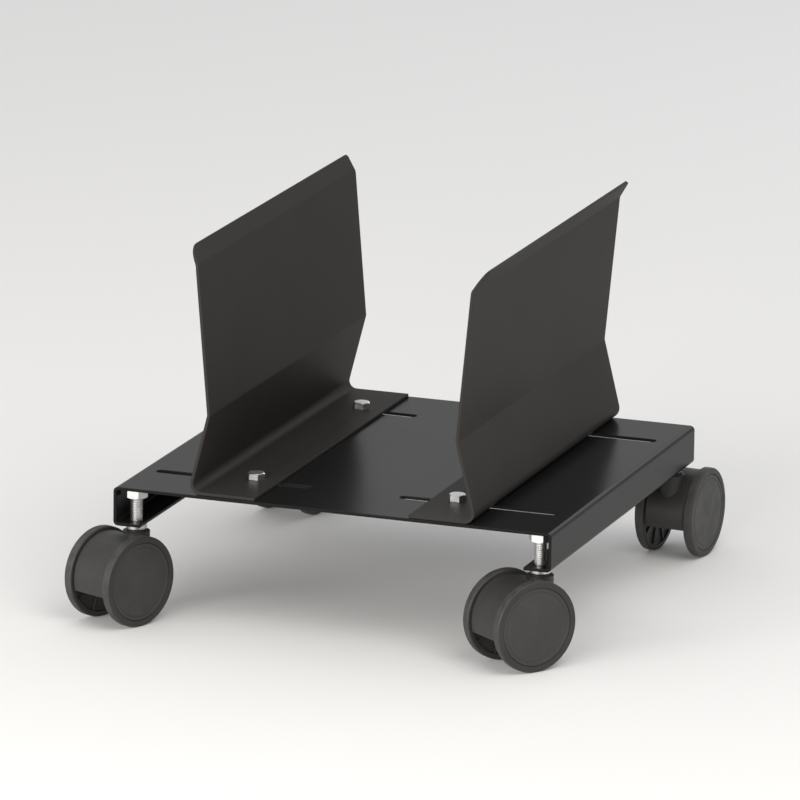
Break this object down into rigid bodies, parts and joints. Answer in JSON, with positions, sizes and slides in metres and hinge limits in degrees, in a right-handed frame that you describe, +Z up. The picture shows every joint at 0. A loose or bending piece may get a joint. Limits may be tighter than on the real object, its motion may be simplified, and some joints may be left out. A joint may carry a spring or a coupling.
{
  "type": "computer holder",
  "caption": "Low wheeled holder for a desktop computer: a folded steel tray on swivelling twin-wheel casters, with two bent side brackets that slide in slots and clamp by bolts.",
  "frame": {"origin": "on the floor, under the centre of the tray", "axes": "+X to the holder's right, +Y to the rear, +Z up; the adjusting slots run along X"},
  "size_m": [0.3275, 0.3551, 0.2445],
  "materials": {
    "tray_coat": "semi-gloss black powder coat",
    "bracket_coat": "semi-gloss black powder coat",
    "zinc_plate": "bright zinc plate",
    "spring_steel": "phosphated spring steel",
    "sleeve_plastic": "black acetal",
    "hood_plastic": "dark grey moulded nylon, fine texture",
    "wheel_plastic": "dark grey moulded nylon",
    "cap_plastic": "dark grey moulded nylon, smooth"
  },
  "bodies": {
    "tray": {"base_tray": "tray_coat", "caster_weld_nuts": "zinc_plate", "front_left_stem": "zinc_plate", "front_left_retaining_clip": "spring_steel", "front_right_stem": "zinc_plate", "front_right_retaining_clip": "spring_steel", "rear_left_stem": "zinc_plate", "rear_left_retaining_clip": "spring_steel", "rear_right_stem": "zinc_plate", "rear_right_retaining_clip": "spring_steel"},
    "left_bracket": {"left_bracket": "bracket_coat", "left_bracket_bolts": "zinc_plate", "left_bracket_washers": "zinc_plate", "left_bracket_nuts": "zinc_plate"},
    "right_bracket": {"right_bracket": "bracket_coat", "right_bracket_bolts": "zinc_plate", "right_bracket_washers": "zinc_plate", "right_bracket_nuts": "zinc_plate"},
    "front_left_caster": {"front_left_hood": "hood_plastic", "front_left_swivel_sleeve": "sleeve_plastic", "front_left_axle": "zinc_plate"},
    "front_left_wheel_a": {"front_left_wheel_a": "wheel_plastic", "front_left_cap_a": "cap_plastic"},
    "front_left_wheel_b": {"front_left_wheel_b": "wheel_plastic", "front_left_cap_b": "cap_plastic"},
    "front_right_caster": {"front_right_hood": "hood_plastic", "front_right_swivel_sleeve": "sleeve_plastic", "front_right_axle": "zinc_plate"},
    "front_right_wheel_a": {"front_right_wheel_a": "wheel_plastic", "front_right_cap_a": "cap_plastic"},
    "front_right_wheel_b": {"front_right_wheel_b": "wheel_plastic", "front_right_cap_b": "cap_plastic"},
    "rear_left_caster": {"rear_left_hood": "hood_plastic", "rear_left_swivel_sleeve": "sleeve_plastic", "rear_left_axle": "zinc_plate"},
    "rear_left_wheel_a": {"rear_left_wheel_a": "wheel_plastic", "rear_left_cap_a": "cap_plastic"},
    "rear_left_wheel_b": {"rear_left_wheel_b": "wheel_plastic", "rear_left_cap_b": "cap_plastic"},
    "rear_right_caster": {"rear_right_hood": "hood_plastic", "rear_right_swivel_sleeve": "sleeve_plastic", "rear_right_axle": "zinc_plate"},
    "rear_right_wheel_a": {"rear_right_wheel_a": "wheel_plastic", "rear_right_cap_a": "cap_plastic"},
    "rear_right_wheel_b": {"rear_right_wheel_b": "wheel_plastic", "rear_right_cap_b": "cap_plastic"}
  },
  "joints": [
    {"name": "left_bracket_slide", "type": "slide", "parent": "tray", "child": "left_bracket", "axis": [1, 0, 0], "range_m": [-0.063, 0.034]},
    {"name": "right_bracket_slide", "type": "slide", "parent": "tray", "child": "right_bracket", "axis": [-1, 0, 0], "range_m": [-0.063, 0.034]},
    {"name": "front_left_swivel", "type": "hinge", "parent": "tray", "child": "front_left_caster", "pos_m": [-0.134, -0.1305, 0.057], "axis": [0, 0, 1], "continuous": true},
    {"name": "front_left_wheel_a_spin", "type": "hinge", "parent": "front_left_caster", "child": "front_left_wheel_a", "pos_m": [-0.1401, -0.1442, 0.029], "axis": [0.9135, -0.4067, 0], "continuous": true},
    {"name": "front_left_wheel_b_spin", "type": "hinge", "parent": "front_left_caster", "child": "front_left_wheel_b", "pos_m": [-0.1401, -0.1442, 0.029], "axis": [0.9135, -0.4067, 0], "continuous": true},
    {"name": "front_right_swivel", "type": "hinge", "parent": "tray", "child": "front_right_caster", "pos_m": [0.134, -0.1305, 0.057], "axis": [0, 0, 1], "continuous": true},
    {"name": "front_right_wheel_a_spin", "type": "hinge", "parent": "front_right_caster", "child": "front_right_wheel_a", "pos_m": [0.12497, -0.14248, 0.029], "axis": [0.7986, -0.6018, 0], "continuous": true},
    {"name": "front_right_wheel_b_spin", "type": "hinge", "parent": "front_right_caster", "child": "front_right_wheel_b", "pos_m": [0.12497, -0.14248, 0.029], "axis": [0.7986, -0.6018, 0], "continuous": true},
    {"name": "rear_left_swivel", "type": "hinge", "parent": "tray", "child": "rear_left_caster", "pos_m": [-0.134, 0.1305, 0.057], "axis": [0, 0, 1], "continuous": true},
    {"name": "rear_left_wheel_a_spin", "type": "hinge", "parent": "rear_left_caster", "child": "rear_left_wheel_a", "pos_m": [-0.13191, 0.14535, 0.029], "axis": [-0.9903, 0.1392, 0], "continuous": true},
    {"name": "rear_left_wheel_b_spin", "type": "hinge", "parent": "rear_left_caster", "child": "rear_left_wheel_b", "pos_m": [-0.13191, 0.14535, 0.029], "axis": [-0.9903, 0.1392, 0], "continuous": true},
    {"name": "rear_right_swivel", "type": "hinge", "parent": "tray", "child": "rear_right_caster", "pos_m": [0.134, 0.1305, 0.057], "axis": [0, 0, 1], "continuous": true},
    {"name": "rear_right_wheel_a_spin", "type": "hinge", "parent": "rear_right_caster", "child": "rear_right_wheel_a", "pos_m": [0.13531, 0.14544, 0.029], "axis": [-0.9962, 0.0872, 0], "continuous": true},
    {"name": "rear_right_wheel_b_spin", "type": "hinge", "parent": "rear_right_caster", "child": "rear_right_wheel_b", "pos_m": [0.13531, 0.14544, 0.029], "axis": [-0.9962, 0.0872, 0], "continuous": true}
  ]
}
